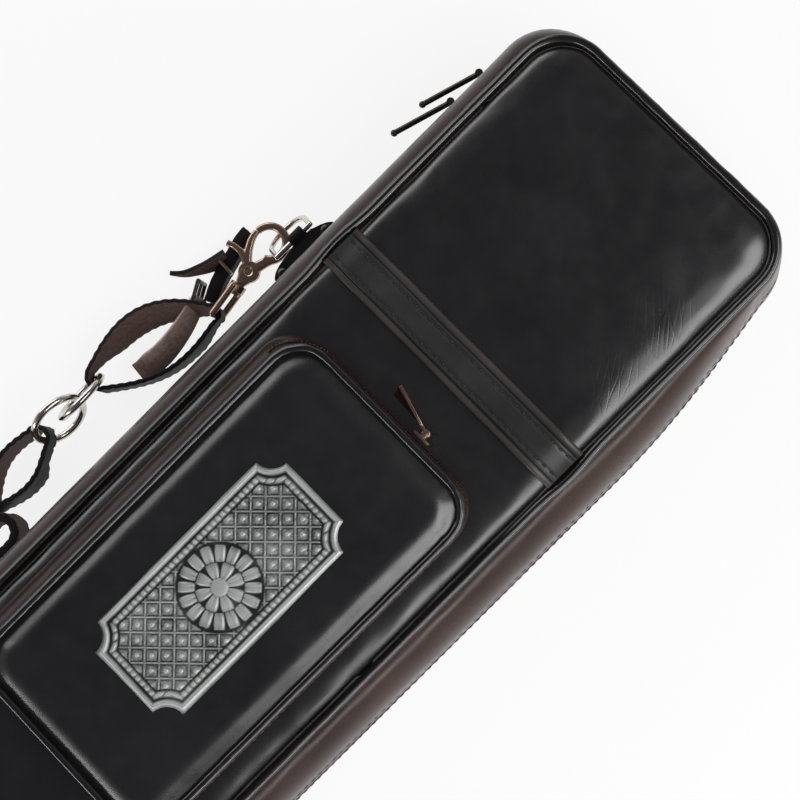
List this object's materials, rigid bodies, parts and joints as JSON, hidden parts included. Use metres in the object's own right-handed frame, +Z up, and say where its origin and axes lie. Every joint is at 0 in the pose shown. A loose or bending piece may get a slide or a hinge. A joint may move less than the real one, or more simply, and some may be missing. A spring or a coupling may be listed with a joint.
{
  "type": "cue case",
  "caption": "Leather butterfly cue case on its back: two padded halves hinged on a spine, zippered, with cue channels, zip pockets and a clip-on shoulder strap.",
  "frame": {"origin": "centre of the back panel's outer face, on the surface that the case lies on", "axes": "+Z up through the front panel, +Y along the case to its top end, +X to the spine side, -X to the zipper and strap side"},
  "size_m": [0.2963, 0.87, 0.1236],
  "materials": {
    "black_leather": "glossy finished leather, black",
    "side_leather": "glossy finished leather, black with a brown cast",
    "piping_leather": "glossy black leather over a cord",
    "strap_leather": "black strap leather, stitched edges",
    "flesh_leather": "flesh side of the strap leather, brown",
    "tooled_leather": "tooled leather, antiqued pewter grey",
    "zipper_tape": "woven zipper tape",
    "zipper_teeth": "black moulded coil",
    "dark_metal": "black plated metal",
    "bronze_metal": "bright bronze plating",
    "nickel": "polished nickel",
    "lining": "napped lining over foam",
    "elastic": "woven elastic",
    "board": "pressed fibre board"
  },
  "bodies": {
    "back_half": {"back_panel": "black_leather", "back_gusset": "side_leather", "spine": "side_leather", "back_piping": "piping_leather", "ring_tabs": "strap_leather", "shoulder_strap": "strap_leather", "chape": "flesh_leather", "back_zipper_tape": "zipper_tape", "back_zipper_teeth": "zipper_teeth", "chape_buckle": "dark_metal", "upper_swivel_eye": "bronze_metal", "lower_swivel_eye": "bronze_metal", "link_rings": "nickel", "ring_tab_rivets": "nickel", "butt_keeper_snaps": "nickel", "butt_bed": "lining", "butt_ribs": "lining", "butt_keepers": "elastic", "back_board": "board"},
    "front_half": {"front_panel": "black_leather", "front_board": "board", "front_piping": "piping_leather", "front_gusset": "side_leather", "front_zipper_tape": "zipper_tape", "front_zipper_teeth": "zipper_teeth", "shaft_bed": "lining", "shaft_ribs": "lining", "shaft_keepers": "elastic", "shaft_keeper_snaps": "nickel", "band_base": "strap_leather", "band_top": "strap_leather", "upper_pocket_wall": "side_leather", "upper_pocket_zipper": "zipper_teeth", "lower_pocket_wall": "side_leather", "lower_pocket_zipper": "zipper_teeth"},
    "upper_pocket_lid": {"upper_pocket_rim": "side_leather", "upper_pocket_face": "black_leather", "upper_pocket_piping": "piping_leather", "upper_pocket_plaque": "tooled_leather"},
    "lower_pocket_lid": {"lower_pocket_rim": "side_leather", "lower_pocket_face": "black_leather", "lower_pocket_piping": "piping_leather"},
    "upper_pocket_slider": {"upper_pocket_slider": "bronze_metal"},
    "upper_pocket_pull": {"upper_pocket_pull": "bronze_metal"},
    "lower_pocket_slider": {"lower_pocket_slider": "bronze_metal"},
    "lower_pocket_pull": {"lower_pocket_pull": "bronze_metal"},
    "upper_slider": {"upper_slider": "dark_metal"},
    "upper_pull": {"upper_pull": "dark_metal"},
    "lower_slider": {"lower_slider": "dark_metal"},
    "lower_pull": {"lower_pull": "dark_metal"},
    "upper_d_ring": {"upper_d_ring": "nickel"},
    "lower_d_ring": {"lower_d_ring": "nickel"},
    "upper_snap": {"upper_snap_hook": "bronze_metal", "upper_snap_rivet": "bronze_metal"},
    "upper_gate": {"upper_snap_gate": "bronze_metal"},
    "lower_snap": {"lower_snap_hook": "bronze_metal", "lower_snap_rivet": "bronze_metal"},
    "lower_gate": {"lower_snap_gate": "bronze_metal"}
  },
  "joints": [
    {"name": "front_open", "type": "hinge", "parent": "back_half", "child": "front_half", "pos_m": [0.103, 0, 0.048], "axis": [0, 1, 0], "range_deg": [0, 145], "deforming": ["spine"]},
    {"name": "upper_pocket_open", "type": "hinge", "parent": "front_half", "child": "upper_pocket_lid", "pos_m": [-0.064, 0.085, 0.10796], "axis": [0, -1, 0], "range_deg": [0, 80]},
    {"name": "lower_pocket_open", "type": "hinge", "parent": "front_half", "child": "lower_pocket_lid", "pos_m": [-0.064, -0.248, 0.10796], "axis": [0, -1, 0], "range_deg": [0, 80]},
    {"name": "upper_pocket_slide", "type": "slide", "parent": "front_half", "child": "upper_pocket_slider", "axis": [-1, 0, 0], "range_m": [-0.02, 0.055]},
    {"name": "upper_pocket_pull_swing", "type": "hinge", "parent": "upper_pocket_slider", "child": "upper_pocket_pull", "pos_m": [0.021, 0.2149, 0.10796], "axis": [0, 0, -1], "range_deg": [-10, 140]},
    {"name": "lower_pocket_slide", "type": "slide", "parent": "front_half", "child": "lower_pocket_slider", "axis": [-1, 0, 0], "range_m": [-0.02, 0.055]},
    {"name": "lower_pocket_pull_swing", "type": "hinge", "parent": "lower_pocket_slider", "child": "lower_pocket_pull", "pos_m": [0.021, -0.0991, 0.10796], "axis": [0, 0, -1], "range_deg": [-10, 140]},
    {"name": "upper_zip_slide", "type": "slide", "parent": "back_half", "child": "upper_slider", "axis": [0, 1, 0], "range_m": [0, 0.013]},
    {"name": "lower_zip_slide", "type": "slide", "parent": "back_half", "child": "lower_slider", "axis": [0, -1, 0], "range_m": [0, 0.72]},
    {"name": "upper_pull_swing", "type": "hinge", "parent": "upper_slider", "child": "upper_pull", "pos_m": [-0.1073, 0.372, 0.048], "axis": [0, 0, -1], "range_deg": [-4, 140]},
    {"name": "lower_pull_swing", "type": "hinge", "parent": "lower_slider", "child": "lower_pull", "pos_m": [-0.1073, 0.35, 0.048], "axis": [0, 0, -1], "range_deg": [-13, 4]},
    {"name": "upper_d_ring_swing", "type": "hinge", "parent": "back_half", "child": "upper_d_ring", "pos_m": [-0.119, 0.235, 0.03292], "axis": [0, 1, 0], "range_deg": [-2, 2]},
    {"name": "upper_snap_swivel", "type": "hinge", "parent": "back_half", "child": "upper_snap", "pos_m": [-0.13242, 0.22395, 0.014], "axis": [-0.1564, 0.9877, 0], "range_deg": [-4, 4]},
    {"name": "upper_gate_press", "type": "hinge", "parent": "upper_snap", "child": "upper_gate", "pos_m": [-0.12929, 0.2042, 0.014], "axis": [0, 0, -1], "range_deg": [0, 14], "stiffness_Nm_per_rad": 0.02, "springref_deg": -17.19},
    {"name": "lower_d_ring_swing", "type": "hinge", "parent": "back_half", "child": "lower_d_ring", "pos_m": [-0.119, -0.235, 0.03292], "axis": [0, 1, 0], "range_deg": [-2, 2]},
    {"name": "lower_snap_swivel", "type": "hinge", "parent": "back_half", "child": "lower_snap", "pos_m": [-0.13242, -0.22395, 0.014], "axis": [-0.1564, -0.9877, 0], "range_deg": [-4, 4]},
    {"name": "lower_gate_press", "type": "hinge", "parent": "lower_snap", "child": "lower_gate", "pos_m": [-0.12929, -0.2042, 0.014], "axis": [0, 0, 1], "range_deg": [0, 14], "stiffness_Nm_per_rad": 0.02, "springref_deg": -17.19}
  ]
}
